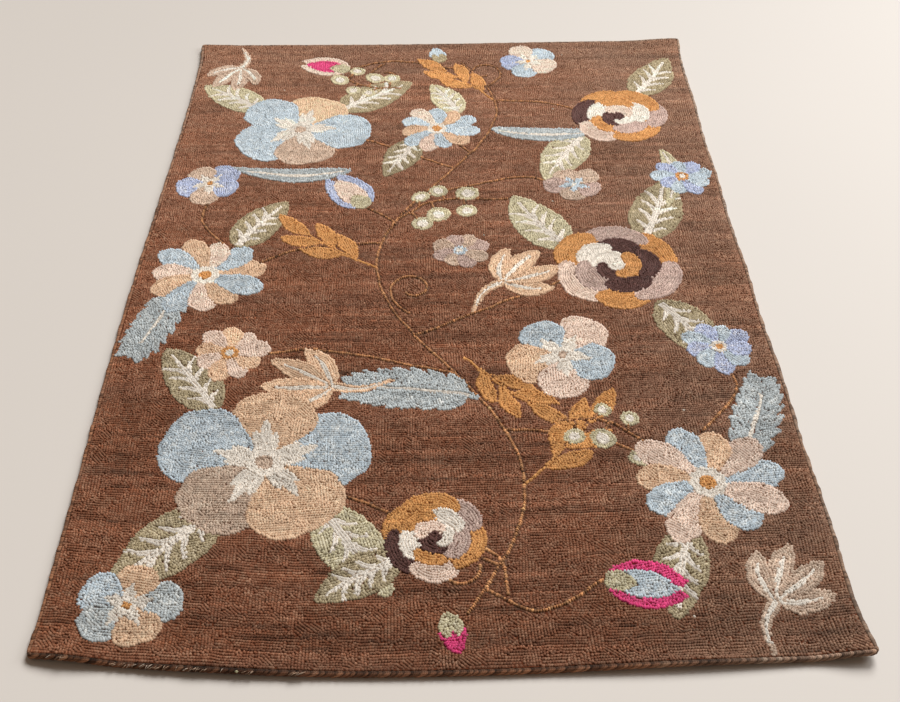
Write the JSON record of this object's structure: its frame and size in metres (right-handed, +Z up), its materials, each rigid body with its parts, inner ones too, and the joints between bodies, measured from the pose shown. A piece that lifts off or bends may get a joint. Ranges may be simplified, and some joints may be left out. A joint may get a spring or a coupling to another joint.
{
  "type": "hand-tufted rug",
  "caption": "Rectangular floor rug of looped wool pile with a whipped yarn edge, a slightly bowed front end and a flower pattern on a brown ground.",
  "frame": {"origin": "on the floor, under the middle of the rug's bounding box", "axes": "+Z up from the floor, through the thickness; +Y along the length, from the front end to the back end; +X across, to the right seen from the front"},
  "size_m": [1.2362, 1.8396, 0.0208],
  "materials": {
    "pile": "looped wool pile, heathered brown ground with flowers and leaves in blue, grey, tan, olive, ochre and cream yarn",
    "whipping": "dark brown wool yarn wound over the edge in slanting wraps"
  },
  "bodies": {
    "root": {"tufted_cloth": "pile", "whipping_front": "whipping", "whipping_back": "whipping", "whipping_left": "whipping", "whipping_right": "whipping"}
  },
  "joints": []
}
